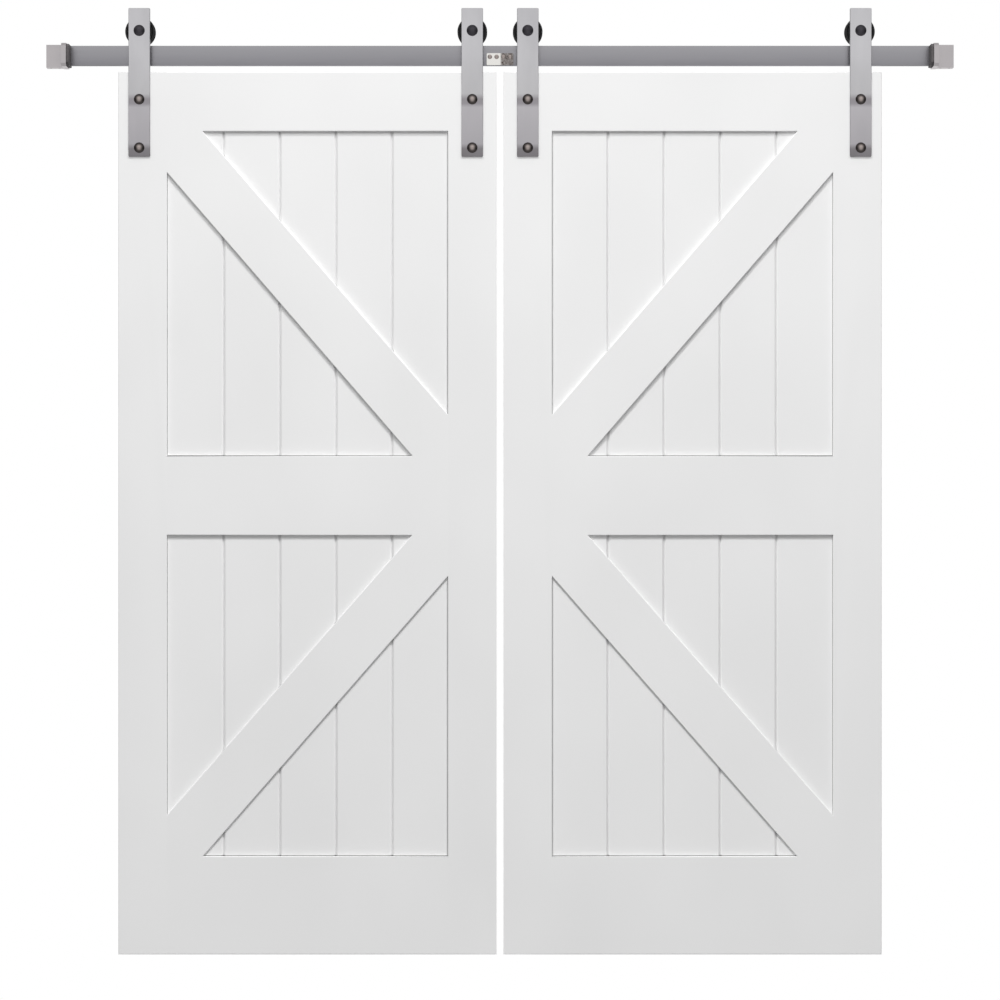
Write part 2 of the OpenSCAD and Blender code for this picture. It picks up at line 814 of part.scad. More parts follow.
track_bar(left);  // left_track_bar
track_bar(right);  // right_track_bar
splice_plate();
splice_block();
splice_screws();
standoffs();
wall_lag_screws();
stop_block(left);  // left_stop_block
stop_block(right);  // right_stop_block
stop_bumper(left);  // left_stop_bumper
stop_bumper(right);  // right_stop_bumper
stop_set_screws();
outer_stile(left);  // left_outer_stile
inner_stile(left);  // left_inner_stile
top_rail(left);  // left_top_rail
middle_rail(left);  // left_middle_rail
bottom_rail(left);  // left_bottom_rail
frame_dowels(left);  // left_frame_dowels
planks(left, upper_bottom, upper_top);  // left_upper_planks
planks(left, lower_bottom, lower_top);  // left_lower_planks
braces(left, upper_bottom, upper_top, true);  // left_upper_braces
braces(left, lower_bottom, lower_top, false);  // left_lower_braces
strap(left, outer_strap_x);  // left_outer_strap
strap(left, inner_strap_x);  // left_inner_strap
door_bolts(left);  // left_door_bolts
door_nuts(left);  // left_door_nuts
axle_bolts(left);  // left_axle_bolts
axle_spacers(left);  // left_axle_spacers
axle_nuts(left);  // left_axle_nuts
bearing_inner_rings(left);  // left_bearing_inner_rings
anti_jump_discs(left);  // left_anti_jump_discs
disc_screws(left);  // left_disc_screws
wheel(left, outer_strap_x);  // left_outer_wheel
wheel_bearing(left, outer_strap_x);  // left_outer_wheel_bearing
wheel(left, inner_strap_x);  // left_inner_wheel
wheel_bearing(left, inner_strap_x);  // left_inner_wheel_bearing
outer_stile(right);  // right_outer_stile
inner_stile(right);  // right_inner_stile
top_rail(right);  // right_top_rail
middle_rail(right);  // right_middle_rail
bottom_rail(right);  // right_bottom_rail
frame_dowels(right);  // right_frame_dowels
planks(right, upper_bottom, upper_top);  // right_upper_planks
planks(right, lower_bottom, lower_top);  // right_lower_planks
braces(right, upper_bottom, upper_top, true);  // right_upper_braces
braces(right, lower_bottom, lower_top, false);  // right_lower_braces
strap(right, outer_strap_x);  // right_outer_strap
strap(right, inner_strap_x);  // right_inner_strap
door_bolts(right);  // right_door_bolts
door_nuts(right);  // right_door_nuts
axle_bolts(right);  // right_axle_bolts
axle_spacers(right);  // right_axle_spacers
axle_nuts(right);  // right_axle_nuts
bearing_inner_rings(right);  // right_bearing_inner_rings
anti_jump_discs(right);  // right_anti_jump_discs
disc_screws(right);  // right_disc_screws
wheel(right, outer_strap_x);  // right_outer_wheel
wheel_bearing(right, outer_strap_x);  // right_outer_wheel_bearing
wheel(right, inner_strap_x);  // right_inner_wheel
wheel_bearing(right, inner_strap_x);  // right_inner_wheel_bearing
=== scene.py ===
# %% [markdown]
# # A pair of sliding barn doors, finished in Blender
# The construction is already there at its real size: two plank leaves hang by steel straps
# from wheels that run on one flat track along the wall. This lesson gives that construction
# its looks. It softens the machined edges, turns the bolts and wheels, mixes a finish for
# every material and sets up a plain studio. Nothing is moved or resized on the way.

# %% Load the construction
import math

import bmesh
import bpy
from mathutils import Matrix, Vector


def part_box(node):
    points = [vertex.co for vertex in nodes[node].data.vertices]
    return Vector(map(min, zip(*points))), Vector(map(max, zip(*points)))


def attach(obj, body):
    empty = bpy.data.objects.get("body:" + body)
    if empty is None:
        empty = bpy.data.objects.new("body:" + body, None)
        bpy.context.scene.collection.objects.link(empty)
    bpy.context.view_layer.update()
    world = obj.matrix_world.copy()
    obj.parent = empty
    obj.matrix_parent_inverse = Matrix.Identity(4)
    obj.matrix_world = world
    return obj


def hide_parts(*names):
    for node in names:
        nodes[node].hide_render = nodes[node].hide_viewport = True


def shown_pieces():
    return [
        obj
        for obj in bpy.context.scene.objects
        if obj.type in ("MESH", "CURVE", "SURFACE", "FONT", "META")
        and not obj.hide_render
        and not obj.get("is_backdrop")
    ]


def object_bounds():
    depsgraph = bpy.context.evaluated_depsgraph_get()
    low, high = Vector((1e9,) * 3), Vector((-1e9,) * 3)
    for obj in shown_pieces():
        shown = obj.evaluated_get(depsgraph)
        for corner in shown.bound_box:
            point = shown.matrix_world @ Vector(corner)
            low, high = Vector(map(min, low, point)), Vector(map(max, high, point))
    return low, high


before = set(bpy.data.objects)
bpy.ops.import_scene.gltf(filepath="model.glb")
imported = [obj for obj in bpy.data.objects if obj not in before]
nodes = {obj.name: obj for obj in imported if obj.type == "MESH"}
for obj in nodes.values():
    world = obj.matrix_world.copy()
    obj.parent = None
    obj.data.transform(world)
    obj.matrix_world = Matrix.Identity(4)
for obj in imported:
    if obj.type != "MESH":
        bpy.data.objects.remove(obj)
cad_low, cad_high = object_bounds()
scene = bpy.context.scene
MM = 0.001
SIDES = {"left": -1, "right": 1}
print("pieces of the construction:", len(nodes), "from", cad_low[:], "to", cad_high[:])

# %% [markdown]
# The construction says where everything is. The few places that the new pieces need are
# read off its pieces' boxes here, once, so that no number has to be kept in step by hand:
# the front of the leaves and of the straps, both faces of the track, the size of a wheel, and
# the line across the doors on which each strap, wheel and standoff is centred.

# %% Places read off the construction
leaf_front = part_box("right_outer_stile")[0].y
strap_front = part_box("right_outer_strap")[0].y
track_front, track_back = (corner.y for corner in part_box("right_track_bar"))
wheel_low, wheel_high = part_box("right_outer_wheel")
wheel_centre = (wheel_low + wheel_high) / 2
wheel_r = (wheel_high.z - wheel_low.z) / 2
wheel_w = wheel_high.y - wheel_low.y


def middle_x(node):
    """Where a node's middle lies across the doors."""
    low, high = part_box(node)
    return (low.x + high.x) / 2


strap_xs = {
    side: {place: middle_x(f"{side}_{place}_strap") for place in ("outer", "inner")}
    for side in SIDES
}
print("strap lines:", strap_xs, "wheel radius in mm:", round(wheel_r / MM, 2))

# %% [markdown]
# ## Finishes
# Each finish is a small graph of nodes round one Principled shader. A helper adds a node,
# sets its options and either fills or links its inputs, and another turns the colours, which
# are written as a painter would look them up, into the linear values that Blender works in.
# Patterns are drawn in the object's own metres, so a feature's size in millimetres gives
# the texture's scale directly.

# %% Helpers for finishes
def linear(hex_colour):
    """An sRGB colour such as #b7b7ba as linear red, green, blue and alpha."""
    parts = [int(hex_colour[i:i + 2], 16) / 255 for i in (1, 3, 5)]
    return [p / 12.92 if p <= 0.04045 else ((p + 0.055) / 1.055) ** 2.4 for p in parts] + [1.0]


def add_node(tree, kind, inputs=None, **options):
    """Adds a node, sets its options, and fills or links the inputs that are given."""
    made = tree.nodes.new(kind)
    for name, value in options.items():
        setattr(made, name, value)
    for name, value in (inputs or {}).items():
        if isinstance(value, bpy.types.NodeSocket):
            tree.links.new(value, made.inputs[name])
        else:
            made.inputs[name].default_value = value
    return made


def start_finish(name, colour, roughness, metallic=0.0, **sockets):
    """A material with one Principled shader. Returns it with its tree and its shader."""
    finish = bpy.data.materials.new(name)
    finish.use_nodes = True
    shader = finish.node_tree.nodes["Principled BSDF"]
    shader.inputs["Base Color"].default_value = linear(colour)
    shader.inputs["Roughness"].default_value = roughness
    shader.inputs["Metallic"].default_value = metallic
    for socket, value in sockets.items():
        shader.inputs[socket].default_value = value
    return finish, finish.node_tree, shader


def per_metre(size_mm):
    """The texture scale at which one feature is this many millimetres long."""
    return 1000 / size_mm


def stretched(tree, size_mm):
    """Object coordinates counted in features of the given size along X, Y and Z."""
    place = add_node(tree, "ShaderNodeTexCoord").outputs["Object"]
    scale = [per_metre(size) for size in size_mm]
    return add_node(tree, "ShaderNodeMapping", {"Vector": place, "Scale": scale}).outputs["Vector"]


NOISE_SPAN = {"From Min": 0.3, "From Max": 0.7}


def speckle(tree, size_mm, low, high, detail=2.0):
    """Soft noise with features of the given size. It hardly ever leaves the middle of its
    range, so that middle is stretched to run from low to high."""
    noise = add_node(
        tree, "ShaderNodeTexNoise",
        {"Vector": stretched(tree, size_mm), "Scale": 1.0, "Detail": detail},
    )
    spread = {"Value": noise.outputs["Fac"], **NOISE_SPAN, "To Min": low, "To Max": high}
    return add_node(tree, "ShaderNodeMapRange", spread).outputs["Result"]


def two_tone(tree, shader, amount, tone_a, tone_b):
    """Blends the shader's colour between two tones, each a colour or a node's output."""
    tones = [linear(tone) if isinstance(tone, str) else tone for tone in (tone_a, tone_b)]
    mix = add_node(tree, "ShaderNodeMix", data_type="RGBA")
    tree.links.new(amount, mix.inputs[0])
    for socket, tone in zip((6, 7), tones):
        if isinstance(tone, list):
            mix.inputs[socket].default_value = tone
        else:
            tree.links.new(tone, mix.inputs[socket])
    tree.links.new(mix.outputs[2], shader.inputs["Base Color"])


def relief(tree, shader, height, depth_mm, strength=1.0):
    """Lets a pattern from 0 to 1 raise the surface by a depth in millimetres."""
    bump = add_node(
        tree, "ShaderNodeBump",
        {"Height": height, "Distance": depth_mm * MM, "Strength": strength},
    )
    tree.links.new(bump.outputs["Normal"], shader.inputs["Normal"])


# %% [markdown]
# ### Painted shade where the planks meet the frame
# A thin dark line of painted shade runs down both sides of each opening and along its foot,
# in the crease where the planks meet the frame. The shadow under the rail above hides the
# fourth. The line at the foot is twice as wide as those at the sides. So narrow a line is not
# worth modelling in the boards. The planks' primer turns dark there instead, and for that it
# has to know how far each point is from these edges. At the foot that distance counts half.

# %% Distance to the openings' edges
COUNTED_AT_SIDE = 1.0
COUNTED_AT_FOOT = 0.5
opening_edges = [
    ("X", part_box("right_inner_stile")[1].x, COUNTED_AT_SIDE),
    ("X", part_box("right_outer_stile")[0].x, COUNTED_AT_SIDE),
    ("Z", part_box("right_middle_rail")[1].z, COUNTED_AT_FOOT),
    ("Z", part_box("right_bottom_rail")[1].z, COUNTED_AT_FOOT),
]
print("openings' edges in mm:", [(axis, round(edge / MM, 1)) for axis, edge, _ in opening_edges])


def distance_to_edges(tree, edges):
    """How far a point is from the nearest edge, counted as that edge says. Both leaves have
    the same edges when measured outward and downward from the middle of the track."""
    place = add_node(tree, "ShaderNodeTexCoord").outputs["Object"]
    reach = add_node(tree, "ShaderNodeVectorMath", {0: place}, operation="ABSOLUTE")
    at = add_node(tree, "ShaderNodeSeparateXYZ", {"Vector": reach.outputs["Vector"]}).outputs
    nearest = 1.0
    for axis, edge, counted in edges:
        steps = (
            ("SUBTRACT", abs(edge)), ("ABSOLUTE", 0.0), ("MULTIPLY", counted), ("MINIMUM", nearest),
        )
        distance = at[axis]
        for operation, other in steps:
            pair = {0: distance, 1: other}
            distance = add_node(tree, "ShaderNodeMath", pair, operation=operation).outputs["Value"]
        nearest = distance
    return nearest


# %% [markdown]
# ### Primed board
# The leaves are made of medium-density fibreboard with a factory coat of white primer. The
# coat is sprayed, so it has no brush marks: it is matt, almost even in colour, and has the
# faint pebbled skin of dried droplets. A droplet is well under a millimetre wide, so the
# pebbles are drawn at 1.8 mm, coarse enough to show near by. The planks have the same primer
# with painted shade along the creases where they meet the frame, dark beside the edge and
# gone about a millimetre from it.

# %% Primer on fibreboard
COAT_TONES = ("#f5f5f5", "#f1f1f1")
# Painted shade along the creases where the planks meet the frame: this tone, fading out about a
# millimetre from the edge.
CREASE_SHADE_TONE = "#6c6c6b"
CREASE_SHADE_DARK = 0.5 * MM
CREASE_SHADE_ENDS = 1.2 * MM
PEBBLE_MM = 1.8


def primed_fibreboard(name, crease_edges=()):
    """Sprayed primer, with painted shade along the given crease edges where there are any."""
    finish, tree, shader = start_finish(name, "#f4f4f4", 0.5, IOR=1.5)
    thickness = speckle(tree, (320, 320, 460), 0, 1)
    two_tone(tree, shader, thickness, *COAT_TONES)
    if crease_edges:
        coat = shader.inputs["Base Color"].links[0].from_socket
        nearest = distance_to_edges(tree, crease_edges)
        crease_reach = {"Value": nearest, "From Min": CREASE_SHADE_DARK, "From Max": CREASE_SHADE_ENDS}
        unshaded = add_node(tree, "ShaderNodeMapRange", crease_reach).outputs["Result"]
        two_tone(tree, shader, unshaded, CREASE_SHADE_TONE, coat)
    pebbles = speckle(tree, (PEBBLE_MM,) * 3, 0, 1)
    relief(tree, shader, pebbles, 0.05, 0.35)
    dryness = speckle(tree, (140, 140, 200), 0.46, 0.56)
    tree.links.new(dryness, shader.inputs["Roughness"])
    return finish


primer = primed_fibreboard("white_primer_on_fibreboard")
plank_primer = primed_fibreboard("white_primer_with_painted_crease_shade", opening_edges)
print("made", primer.name, "and", plank_primer.name)

# %% [markdown]
# ### Satin nickel
# The straps, track, stops and standoffs are steel with a satin nickel plate. It is brushed
# before plating, so its reflections are drawn out across the strokes. The strokes run along
# each bar: upright on the straps, level on the track. A real stroke is a tenth of a
# millimetre wide, and is drawn at 0.9 mm so that it can be seen. The plate's tone is not even,
# and on the straps and track light and shade are painted into it. The straps are palest at
# the top, a painted reflection, duller from the upper bolt down, and darkest in a painted
# shadow band under each bolt. The track is darker and cloudier, and a painted highlight makes
# it a little paler along its top edge. The stops have one tone. So each finish is a ramp of
# tones by height, painted light and shade on straps and track, with faint clouds over it.

# %% Brushed nickel, upright and level
STROKE_MM = 0.9
CLOUD_TONE = "#a5a4a8"
CLOUD_SHARE = 0.3


def satin_nickel(name, stroke_mm, bands, cloud_mm, roughness):
    """Nickel plate with tones by height in mm, which on straps and track paint light and shade.
    Strokes and clouds have sizes in X, Y and Z.
    """
    finish, tree, shader = start_finish(name, bands[-1][1], roughness, metallic=1.0)
    foot, head = bands[0][0], bands[-1][0]
    place = add_node(tree, "ShaderNodeTexCoord").outputs["Object"]
    height = add_node(tree, "ShaderNodeSeparateXYZ", {"Vector": place}).outputs["Z"]
    reach = {"Value": height, "From Min": foot * MM, "From Max": head * MM}
    share = add_node(tree, "ShaderNodeMapRange", reach).outputs["Result"]
    ramp = add_node(tree, "ShaderNodeValToRGB", {"Fac": share})
    stops = ramp.color_ramp.elements
    while len(stops) < len(bands):
        stops.new(0.5)
    for stop, (z, colour) in zip(stops, bands):
        stop.position = (z - foot) / (head - foot)
        stop.color = linear(colour)
    clouds = speckle(tree, cloud_mm, 0, CLOUD_SHARE, 3.0)
    two_tone(tree, shader, clouds, ramp.outputs["Color"], CLOUD_TONE)
    strokes = speckle(tree, stroke_mm, 0, 1)
    relief(tree, shader, strokes, 0.012, 0.5)
    sheen = speckle(tree, stroke_mm, roughness - 0.05, roughness + 0.05)
    tree.links.new(sheen, shader.inputs["Roughness"])
    return finish


# Painted reflection and shade on the straps: palest at the top, with dark painted shadow bands
# under each bolt.
STRAP_PAINTED_SHADING = (
    (-247, "#7e7a7d"), (-228, "#868285"), (-216, "#bbb8bc"), (-128, "#c6c3c7"), (-119, "#a39fa4"),
    (-108, "#a09ca0"), (-95, "#cdccce"), (0, "#d6d5d8"), (112, "#d4d3d6"),
)
# Painted light on the track: paler towards its top edge.
TRACK_PAINTED_SHADING = ((-24.4, "#8f8e93"), (-5, "#9e9da2"), (24.4, "#adacb0"))
STOP_TONES = ((-31, "#c9c4c5"), (26, "#c9c4c5"))

strap_nickel = satin_nickel(
    "satin_nickel_brushed_upright", (STROKE_MM, STROKE_MM, 90),
    STRAP_PAINTED_SHADING, cloud_mm=(60, 60, 200), roughness=0.34,
)
track_nickel = satin_nickel(
    "satin_nickel_brushed_level", (120, STROKE_MM, STROKE_MM),
    TRACK_PAINTED_SHADING, cloud_mm=(150, 60, 22), roughness=0.36,
)
stop_nickel = satin_nickel(
    "satin_nickel_brushed_stop", (STROKE_MM, STROKE_MM, 30),
    STOP_TONES, cloud_mm=(60, 60, 60), roughness=0.34,
)
print("made", strap_nickel.name, track_nickel.name, "and", stop_nickel.name)

# %% [markdown]
# ### Bolts and other plated steel
# The axle bolts are black oxide, a thin soft-sheened conversion coat. Nuts, screws, spacers
# and the block behind the track are bright zinc, which dries with a slightly uneven bloom.
# The bearings' rings are bare ground steel. All are metals, so only colour and roughness tell
# them apart.

# %% Oxidised, plated and ground steel
def cloudy_metal(name, tones, roughness, cloud_mm, spread):
    """A metal whose tone and roughness drift over clouds of the given size."""
    finish, tree, shader = start_finish(name, tones[0], roughness, metallic=1.0)
    clouds = speckle(tree, (cloud_mm,) * 3, 0, 1, 3.0)
    two_tone(tree, shader, clouds, *tones)
    gloss = speckle(tree, (cloud_mm / 3,) * 3, roughness - spread, roughness + spread)
    tree.links.new(gloss, shader.inputs["Roughness"])
    return finish


black_oxide = cloudy_metal(
    "black_oxide_on_steel", ("#4e4c51", "#454348"), roughness=0.38, cloud_mm=6, spread=0.06
)
zinc = cloudy_metal(
    "bright_zinc_plate", ("#c3c5c8", "#b2b5ba"), roughness=0.3, cloud_mm=10, spread=0.06
)
ground_steel = cloudy_metal(
    "ground_bearing_steel", ("#d2d4d6", "#c6c8cb"), roughness=0.2, cloud_mm=4, spread=0.04
)
print("made", black_oxide.name, zinc.name, ground_steel.name)

# %% [markdown]
# ### The door bolts' heads
# The heads of the door bolts are polished nickel with their reflection painted on: the crown
# has a light tone and a dark painted shade runs round the rim. The crown of each head is found
# by an attribute of the mesh, each point's distance from its own bolt's axis. The small screws
# of the joint plate have the same nickel. They don't store the attribute, so they take the
# light crown tone all over.

# %% Nickel with a painted dark rim
# Painted reflection: the crown is given a light tone and the rim a dark painted shade.
CROWN_TONE = "#aca19d"
RIM_PAINTED_SHADE = "#4e4948"
CROWN_LIGHT_TO = 1.5 * MM
RIM_SHADE_FROM = 9.5 * MM


def nickel_with_painted_rim():
    finish, tree, shader = start_finish(
        "nickel_with_painted_dark_rim", CROWN_TONE, 0.14, metallic=1.0
    )
    radius = add_node(tree, "ShaderNodeAttribute", attribute_name="from_axis").outputs["Fac"]
    rim_reach = {"Value": radius, "From Min": CROWN_LIGHT_TO, "From Max": RIM_SHADE_FROM}
    rim = add_node(tree, "ShaderNodeMapRange", rim_reach, interpolation_type="SMOOTHSTEP")
    two_tone(tree, shader, rim.outputs["Result"], CROWN_TONE, RIM_PAINTED_SHADE)
    tree.links.new(speckle(tree, (3, 3, 3), 0.11, 0.17), shader.inputs["Roughness"])
    return finish


dark_nickel = nickel_with_painted_rim()
print("made", dark_nickel.name)

# %% [markdown]
# ### The joint plate
# The plate over the joint of the track is polished nickel. Its left half is painted pale, a
# painted bright reflection. Its right half is painted in brown, patchy shade, so the tone
# changes over a few millimetres at the middle and the shaded half is mottled.

# %% Polished nickel, half in painted shade
GLARE_TO = -1 * MM
SHADE_FROM = 5 * MM


def nickel_half_in_painted_shade():
    finish, tree, shader = start_finish(
        "nickel_polished_with_painted_shade", "#f0eeea", 0.14, metallic=1.0
    )
    place = add_node(tree, "ShaderNodeTexCoord").outputs["Object"]
    across = add_node(tree, "ShaderNodeSeparateXYZ", {"Vector": place}).outputs["X"]
    edge = {"Value": across, "From Min": GLARE_TO, "From Max": SHADE_FROM}
    half = add_node(tree, "ShaderNodeMapRange", edge, interpolation_type="SMOOTHSTEP")
    patches = speckle(tree, (5, 5, 5), 0.58, 1.0, 3.0)
    patchy = {0: half.outputs["Result"], 1: patches}
    shaded = add_node(tree, "ShaderNodeMath", patchy, operation="MULTIPLY").outputs["Value"]
    # Painted light: the pale tone is a painted bright reflection, the mottled brown one painted
    # shade.
    two_tone(tree, shader, shaded, "#f6f4f0", "#4b3c3a")
    dull = {"Value": shaded, "To Min": 0.12, "To Max": 0.36}
    dulling = add_node(tree, "ShaderNodeMapRange", dull)
    tree.links.new(dulling.outputs["Result"], shader.inputs["Roughness"])
    return finish


plate_nickel = nickel_half_in_painted_shade()
print("made", plate_nickel.name)

# %% [markdown]
# ### Nylon, rubber and beech
# The wheels and the discs on the leaves' tops are black nylon, turned from bar, so their
# faces carry fine rings round the axle. The rings follow the shape and not the room, so they
# read an attribute of the mesh: each point's distance from its own axle. A tool mark is about
# 0.2 mm from the next and is drawn at 0.8 mm. The stops' bumpers and the bearings' seals are
# matt moulded rubber. The dowels inside the frame are beech, with grain along their length.

# %% Turned nylon, moulded rubber, bare beech
RING_MM = 0.8


def turned_nylon():
    finish, tree, shader = start_finish(
        "black_nylon_turned", "#0c0c0d", 0.58, IOR=1.53
    )
    radius = add_node(tree, "ShaderNodeAttribute", attribute_name="from_axis").outputs["Fac"]
    turns = {0: radius, 1: 2 * math.pi * per_metre(RING_MM)}
    angle = add_node(tree, "ShaderNodeMath", turns, operation="MULTIPLY").outputs["Value"]
    rings = add_node(tree, "ShaderNodeMath", {0: angle}, operation="SINE").outputs["Value"]
    relief(tree, shader, rings, 0.02, 0.4)
    scuffs = speckle(tree, (12, 12, 12), 0.52, 0.64)
    tree.links.new(scuffs, shader.inputs["Roughness"])
    return finish


def moulded_rubber():
    finish, tree, shader = start_finish(
        "black_rubber_moulded", "#555253", 0.72, IOR=1.52
    )
    grain = speckle(tree, (0.9, 0.9, 0.9), 0, 1)
    relief(tree, shader, grain, 0.04, 0.5)
    two_tone(tree, shader, speckle(tree, (14, 14, 14), 0, 1), "#555253", "#605d5e")
    return finish


def bare_beech():
    finish, tree, shader = start_finish(
        "beech_dowel_bare", "#c9a173", 0.6, IOR=1.5
    )
    grain = speckle(tree, (22, 0.8, 0.8), 0, 1, 3.0)
    two_tone(tree, shader, grain, "#d2ad80", "#b98f60")
    relief(tree, shader, grain, 0.05, 0.4)
    return finish


nylon, rubber, beech = turned_nylon(), moulded_rubber(), bare_beech()
print("made", nylon.name, rubber.name, beech.name)

# %% [markdown]
# ## Tools for shaping
# Every new piece is finished the same way. Its mesh becomes an object that stays at the
# origin, smooth where its faces meet gently and crisp elsewhere, and a Weighted Normal
# modifier keeps the large faces flat beside their narrow rounded edges. Then it is hung on
# the body that carries it and given its finish, and the pieces of the construction that it
# stands for are hidden.

# %% From a bmesh to a piece
CRISP_ANGLE = math.radians(40)


def close_piece(form, name, body, slot, finish, *stands_for):
    """Makes a finished bmesh a piece that rides on a body."""
    mesh = bpy.data.meshes.new(name)
    form.to_mesh(mesh)
    form.free()
    mesh.materials.append(finish)
    mesh.shade_smooth()
    mesh.set_sharp_from_angle(angle=CRISP_ANGLE)
    piece = bpy.data.objects.new(name, mesh)
    scene.collection.objects.link(piece)
    flat_faces = piece.modifiers.new("flat_faces", "WEIGHTED_NORMAL")
    flat_faces.keep_sharp = True
    flat_faces.weight = 100
    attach(piece, body)
    if stands_for:
        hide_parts(*stands_for)
    return piece


# %% [markdown]
# ### Softened edges
# Nothing made of steel or board has a mathematically sharp edge, and it is the edge that
# catches the light. The construction's pieces have the right shape already, so the quickest
# honest way is to copy one, merge the copy's loose triangles, join those that lie in one
# plane, and bevel the edges that are left. Edges sharper than the given angle are rounded.
# Where boards butt against each other the filled joint stays closed, so there only
# the 45 degree flats along the exposed edges are rounded. Bevelling can leave slivers where
# edges end, which would spoil the shading of the large faces, so they are dissolved.

# %% Copy a piece and round its edges
MERGE = 1e-6
FLAT_ANGLE = math.radians(0.3)
SLIVER = 2e-5


def softened(node, body, slot, finish, round_mm, low=30, high=180, segments=2):
    """A copy of a node whose edges between two angles, in degrees, are rounded."""
    form = bmesh.new()
    form.from_mesh(nodes[node].data)
    bmesh.ops.remove_doubles(form, verts=form.verts, dist=MERGE)
    bmesh.ops.dissolve_limit(form, angle_limit=FLAT_ANGLE, verts=form.verts, edges=form.edges)
    edges = [
        e for e in form.edges
        if len(e.link_faces) == 2 and low < math.degrees(e.calc_face_angle()) < high
    ]
    bmesh.ops.bevel(
        form, geom=edges, offset=round_mm * MM, offset_type="OFFSET", segments=segments,
        profile=0.5, affect="EDGES", clamp_overlap=True, material=-1,
    )
    bmesh.ops.dissolve_degenerate(form, dist=SLIVER, edges=form.edges)
    return close_piece(form, f"{node}_soft", body, slot, finish, node)


# %% [markdown]
# ## The leaves
# Each leaf is two stiles, three rails, ten tongued planks and four braces. The face of the
# frame and of the braces is filled and sprayed as one surface, so no joint shows. What shows
# is the light along every eased edge and down the V between planks.

# %% Stiles, rails, planks and braces
BOARDS = (
    "outer_stile", "inner_stile", "top_rail", "middle_rail", "bottom_rail",
    "upper_planks", "lower_planks", "upper_braces", "lower_braces",
)
BOARD_EASE_MM = 0.5

for side in SIDES:
    for board in BOARDS:
        coat = plank_primer if board.endswith("planks") else primer
        softened(
            f"{side}_{board}", f"{side}_leaf", "primed_mdf", coat, BOARD_EASE_MM, low=35, high=55
        )
    dowels = nodes[f"{side}_frame_dowels"].data.materials
    dowels.clear()
    dowels.append(beech)
print("boards:", len(SIDES) * len(BOARDS), "groups, held together by beech dowels")

# %% [markdown]
# ### Distance from an axis
# The finishes of the turned pieces follow the axis that each was turned about. One piece can
# hold several, such as both discs of a leaf or its four door bolts, and then Object
# coordinates can't tell them apart. So each point stores its distance from the nearest axis,
# which a finish reads as an attribute.

# %% Store the distance
def store_radius(piece, centres, across):
    """Stores each point's distance from the nearest axis as from_axis. The axes cross the
    plane of the two coordinates given, at the given centres."""
    attribute = piece.data.attributes.new("from_axis", "FLOAT", "POINT")
    for vert, item in zip(piece.data.vertices, attribute.data):
        spot = [vert.co[i] for i in across]
        item.value = min(math.dist(spot, centre) for centre in centres)


# %% [markdown]
# ## Flat steel and small hardware
# The straps are bent nowhere: each is a flat bar with its ends' corners rounded and its
# edges dressed. The track is the same kind of bar, laid level. The stop at each end is a
# block with a slot that the track passes through, and carries a rubber bumper. Nuts, spacers,
# rings and screws have the right shape too and only need their edges rounded. The nylon discs
# on the leaves' tops are turned about upright axes, in the middle of the track's thickness.

# %% Straps, track, stops and the joint's hardware
track_middle = (track_front + track_back) / 2

for side in SIDES:
    leaf = f"{side}_leaf"
    for place in ("outer", "inner"):
        softened(
            f"{side}_{place}_strap", leaf, "satin_nickel_strap", strap_nickel, 0.7, segments=3
        )
    softened(f"{side}_track_bar", "track", "satin_nickel_track", track_nickel, 0.4)
    softened(f"{side}_stop_block", "track", "satin_nickel_strap", stop_nickel, 0.9, segments=3)
    softened(f"{side}_stop_bumper", "track", "rubber", rubber, 1.2, segments=3)
    softened(f"{side}_door_nuts", leaf, "zinc_plate", zinc, 0.5)
    softened(f"{side}_axle_nuts", leaf, "zinc_plate", zinc, 0.5)
    softened(f"{side}_axle_spacers", leaf, "zinc_plate", zinc, 0.4)
    softened(f"{side}_disc_screws", leaf, "zinc_plate", zinc, 0.2)
    softened(f"{side}_bearing_inner_rings", leaf, "bearing_steel", ground_steel, 0.2)
    discs = softened(f"{side}_anti_jump_discs", leaf, "black_nylon", nylon, 0.8)
    store_radius(discs, [(x, track_middle) for x in strap_xs[side].values()], (0, 1))
softened("splice_plate", "track", "polished_nickel", plate_nickel, 0.5)
softened("splice_block", "track", "zinc_plate", zinc, 0.8)
softened("splice_screws", "track", "polished_dark_nickel", dark_nickel, 0.15)
softened("stop_set_screws", "track", "black_oxide", black_oxide, 0.3)
print("flat steel and small hardware done")

# %% [markdown]
# ## Turned pieces
# Bolts, wheels, bearings and standoffs are round, so each is an outline spun about a line
# that runs towards the wall. The outline is given as radius and depth, and a short arc
# formula fills in the curved stretches. Spinning can leave the shape inside out, so doubles
# are merged and the normals recalculated. The finished small shape is then set into its
# piece as often as the door has it.

# %% Spin an outline
def arc(centre, radius, start, end, steps):
    """Points along an arc in radius and depth, from one angle to another in degrees."""
    angles = [math.radians(start + (end - start) * i / steps) for i in range(steps + 1)]
    return [(centre[0] + radius * math.cos(a), centre[1] + radius * math.sin(a)) for a in angles]


def turned(outline, steps=64, closed=False):
    """Spins an outline of radius and depth, both in mm, about the line towards the wall."""
    form = bmesh.new()
    points = [form.verts.new((r * MM, y * MM, 0)) for r, y in outline]
    ends = points[1:] + points[:1] if closed else points[1:]
    edges = [form.edges.new(pair) for pair in zip(points, ends)]
    bmesh.ops.spin(
        form, geom=points + edges, cent=(0, 0, 0), axis=(0, 1, 0),
        angle=2 * math.pi, steps=steps, use_merge=True,
    )
    bmesh.ops.remove_doubles(form, verts=form.verts, dist=MERGE)
    bmesh.ops.recalc_face_normals(form, faces=form.faces)
    return form


